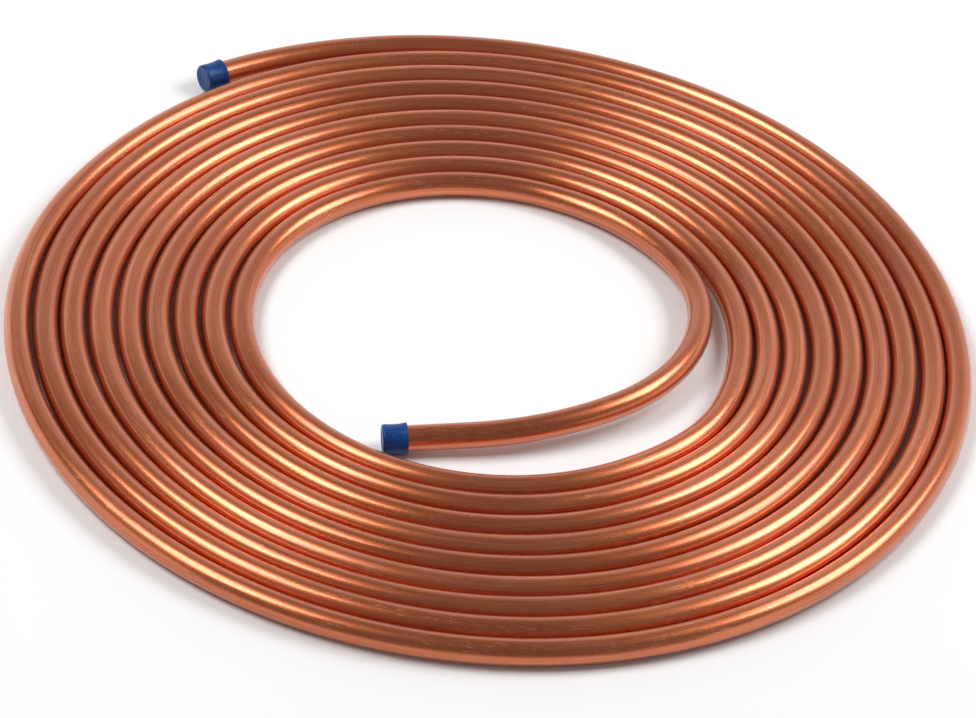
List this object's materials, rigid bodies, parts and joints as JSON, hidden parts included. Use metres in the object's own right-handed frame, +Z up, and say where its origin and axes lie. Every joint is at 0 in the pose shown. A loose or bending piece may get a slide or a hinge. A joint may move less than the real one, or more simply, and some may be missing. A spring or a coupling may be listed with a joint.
{
  "type": "copper tube coil",
  "caption": "Flat pancake coil of soft copper tube with a loose inner end and push-on blue caps on both ends.",
  "frame": {"origin": "centre of the coil's outline on the floor it lies on", "axes": "+Z up, square to the flat coil; -Y towards the side the picture is taken from"},
  "size_m": [0.4528, 0.4594, 0.018],
  "materials": {
    "copper": "bright drawn copper, satin",
    "blue_vinyl": "satin"
  },
  "bodies": {
    "root": {"copper_tube": "copper", "cap_outer_end": "blue_vinyl", "cap_inner_end": "blue_vinyl"}
  },
  "joints": []
}
